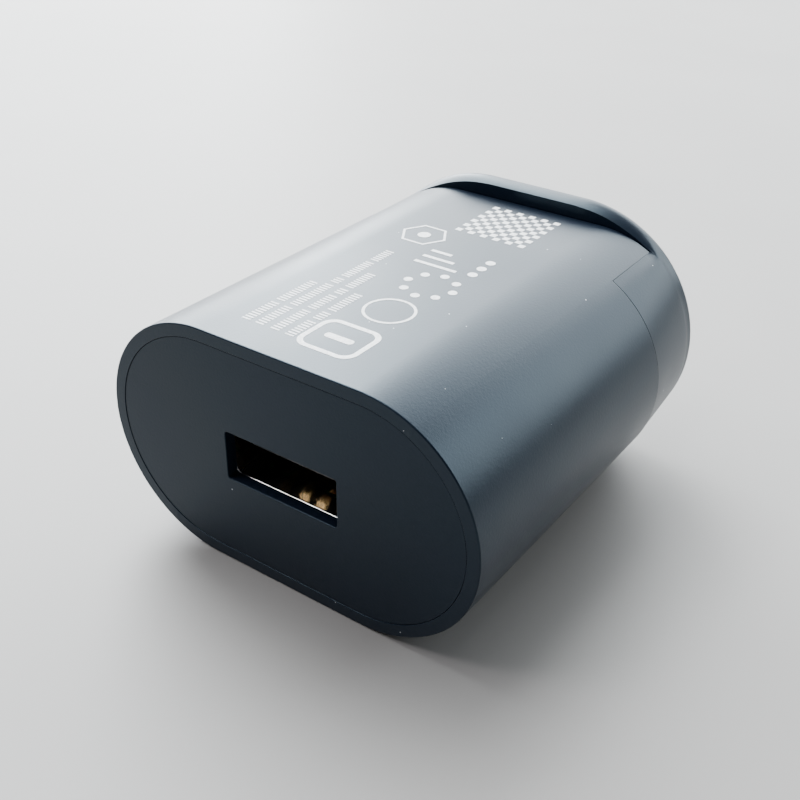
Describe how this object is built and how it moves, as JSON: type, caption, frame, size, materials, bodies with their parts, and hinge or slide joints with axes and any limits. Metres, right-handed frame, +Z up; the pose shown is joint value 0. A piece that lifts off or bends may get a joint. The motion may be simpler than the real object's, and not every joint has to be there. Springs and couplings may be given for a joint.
{
  "type": "usb wall charger",
  "caption": "Compact oval-section mains charger with flat slanted plug blades at its rear and a USB-A socket in its front face.",
  "frame": {"origin": "centre of the plug face, the flat rear face that lies against the wall socket, midway between the two plug pins", "axes": "+Y into the wall socket along the pins, +Z up, +X across the charger; the USB socket faces -Y"},
  "size_m": [0.0416, 0.0621, 0.0282],
  "materials": {
    "navy_plastic": "satin navy-blue moulded plastic with a fine spark-eroded grain",
    "panel_plastic": "satin navy-blue moulded plastic, as the tube",
    "pin_metal": "nickel-plated, bright",
    "black_plastic": "black moulded plastic",
    "shell_steel": "nickel-plated sheet steel",
    "contact_gold": "gold-plated",
    "lead_copper": "tinned copper wire",
    "board_fibreglass": "green solder mask over glass-fibre board",
    "ferrite": "dull dark grey ferrite",
    "winding_copper": "enamelled copper wire",
    "tape_yellow": "yellow polyester tape and casing",
    "capacitor_aluminium": "bare drawn aluminium",
    "capacitor_film": "shrunk plastic film",
    "rubber_bung": "dull rubber",
    "ceramic_blue": "blue epoxy dip over a ceramic disc",
    "chip_epoxy": "moulded black epoxy",
    "thermal_silicone": "soft grey silicone pad",
    "insulation_film": "translucent polyester sheet",
    "resistor_green": "flameproof lacquer over ceramic",
    "surface_ceramic": "bare ceramic"
  },
  "bodies": {
    "charger": {"bridge_rectifier": "chip_epoxy", "controller_chip": "chip_epoxy", "emi_choke_core": "ferrite", "emi_choke_winding": "winding_copper", "film_capacitor": "tape_yellow", "front_panel": "panel_plastic", "fuse_resistor": "resistor_green", "housing_sleeve": "navy_plastic", "input_capacitor_left_bung": "rubber_bung", "input_capacitor_left_can": "capacitor_aluminium", "input_capacitor_left_sleeve": "capacitor_film", "input_capacitor_right_bung": "rubber_bung", "input_capacitor_right_can": "capacitor_aluminium", "input_capacitor_right_sleeve": "capacitor_film", "insulation_sheet": "insulation_film", "main_board": "board_fibreglass", "output_capacitor_left_bung": "rubber_bung", "output_capacitor_left_can": "capacitor_aluminium", "output_capacitor_left_sleeve": "capacitor_film", "output_capacitor_right_bung": "rubber_bung", "output_capacitor_right_can": "capacitor_aluminium", "output_capacitor_right_sleeve": "capacitor_film", "pin_active": "pin_metal", "pin_insulator_active": "black_plastic", "pin_insulator_neutral": "black_plastic", "pin_lead_active": "lead_copper", "pin_lead_neutral": "lead_copper", "pin_neutral": "pin_metal", "plug_base": "navy_plastic", "rectifier_chip": "chip_epoxy", "safety_capacitor": "ceramic_blue", "sense_resistor": "chip_epoxy", "snubber_capacitor": "surface_ceramic", "snubber_resistor": "chip_epoxy", "supply_capacitor": "surface_ceramic", "thermal_pad": "thermal_silicone", "transformer_bobbin": "black_plastic", "transformer_core_front": "ferrite", "transformer_core_rear": "ferrite", "transformer_tape": "tape_yellow", "transformer_winding": "winding_copper", "usb_insulator": "black_plastic", "usb_shell": "shell_steel", "usb_terminal_1": "contact_gold", "usb_terminal_2": "contact_gold", "usb_terminal_3": "contact_gold", "usb_terminal_4": "contact_gold"},
    "contact_1": {"usb_contact_1": "contact_gold"},
    "contact_2": {"usb_contact_2": "contact_gold"},
    "contact_3": {"usb_contact_3": "contact_gold"},
    "contact_4": {"usb_contact_4": "contact_gold"}
  },
  "joints": [
    {"name": "contact_1_flex", "type": "hinge", "parent": "charger", "child": "contact_1", "pos_m": [-0.0035, -0.0337, 0.00045], "axis": [-1, 0, 0], "range_deg": [0, 3.5], "stiffness_Nm_per_rad": 0.1},
    {"name": "contact_2_flex", "type": "hinge", "parent": "charger", "child": "contact_2", "pos_m": [-0.001, -0.0337, 0.00045], "axis": [-1, 0, 0], "range_deg": [0, 3.5], "stiffness_Nm_per_rad": 0.1},
    {"name": "contact_3_flex", "type": "hinge", "parent": "charger", "child": "contact_3", "pos_m": [0.001, -0.0337, 0.00045], "axis": [-1, 0, 0], "range_deg": [0, 3.5], "stiffness_Nm_per_rad": 0.1},
    {"name": "contact_4_flex", "type": "hinge", "parent": "charger", "child": "contact_4", "pos_m": [0.0035, -0.0337, 0.00045], "axis": [-1, 0, 0], "range_deg": [0, 3.5], "stiffness_Nm_per_rad": 0.1}
  ]
}
